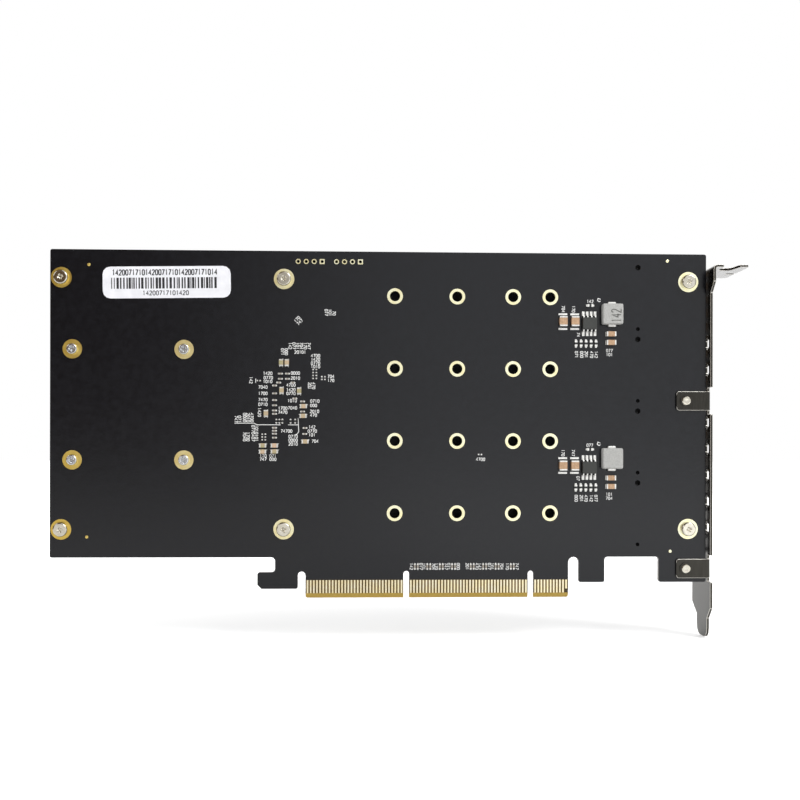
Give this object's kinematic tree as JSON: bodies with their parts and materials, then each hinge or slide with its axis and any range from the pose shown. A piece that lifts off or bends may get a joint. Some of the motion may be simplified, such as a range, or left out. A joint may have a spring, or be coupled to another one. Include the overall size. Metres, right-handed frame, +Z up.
{
  "type": "nvme adapter card",
  "caption": "Full-height expansion card that carries M.2 drives on its hidden side under a finned heatsink cover, with a vented slot bracket and a gold contact edge.",
  "frame": {"origin": "centre of the key notch at the lower edge of the contacts, midway through the board", "axes": "+X along the card towards the bracket, +Z up from the contact edge to the top of the card, +Y from the solder side through the board to the component side"},
  "size_m": [0.2218, 0.0216, 0.1242],
  "materials": {
    "solder_mask": "semi-matt black solder mask over glass-fibre board",
    "gold_plate": "immersion gold over copper",
    "socket_plastic": "moulded black",
    "black_anodised": "black anodised",
    "plain_aluminium": "turned",
    "bracket_steel": "nickel-plated sheet",
    "nickel_screw": "nickel plated",
    "gap_pad": "soft silicone gap pad",
    "chip_plastic": "moulded epoxy",
    "tin_plate": "bright tin",
    "pressed_ferrite": "painted grey powder core",
    "resistor_glaze": "black glaze",
    "capacitor_ceramic": "fired tan ceramic",
    "label_paper": "white printed sticker"
  },
  "bodies": {
    "root": {"bracket": "bracket_steel", "bracket_screws": "nickel_screw", "circuit_board": "solder_mask", "component_side_contacts": "gold_plate", "coupling_capacitors": "capacitor_ceramic", "cover_screw_rings": "gold_plate", "cover_screws": "nickel_screw", "cover_spacers": "plain_aluminium", "decoupling_capacitors": "capacitor_ceramic", "drive_hole_rings": "gold_plate", "drive_socket_1": "socket_plastic", "drive_socket_2": "socket_plastic", "drive_socket_3": "socket_plastic", "drive_socket_4": "socket_plastic", "drive_thermal_pad_1": "gap_pad", "drive_thermal_pad_2": "gap_pad", "drive_thermal_pad_3": "gap_pad", "drive_thermal_pad_4": "gap_pad", "feedback_resistors": "resistor_glaze", "fiducial_dots": "gold_plate", "header_pads": "gold_plate", "heatsink_cover": "black_anodised", "input_capacitor_bodies": "capacitor_ceramic", "input_capacitor_ends": "tin_plate", "lower_inductor": "pressed_ferrite", "lower_inductor_terminals": "tin_plate", "lower_regulator_chip": "chip_plastic", "lower_regulator_leads": "tin_plate", "output_capacitor_bodies": "capacitor_ceramic", "output_capacitor_ends": "tin_plate", "product_label": "label_paper", "pull_up_resistors": "resistor_glaze", "small_screw_rings": "gold_plate", "small_screws": "nickel_screw", "small_spacers": "plain_aluminium", "solder_side_contacts": "gold_plate", "switch_bulk_capacitor_bodies": "capacitor_ceramic", "switch_bulk_capacitor_ends": "tin_plate", "switch_chip": "chip_plastic", "switch_thermal_pad": "gap_pad", "upper_inductor": "pressed_ferrite", "upper_inductor_terminals": "tin_plate", "upper_regulator_chip": "chip_plastic", "upper_regulator_leads": "tin_plate"}
  },
  "joints": []
}
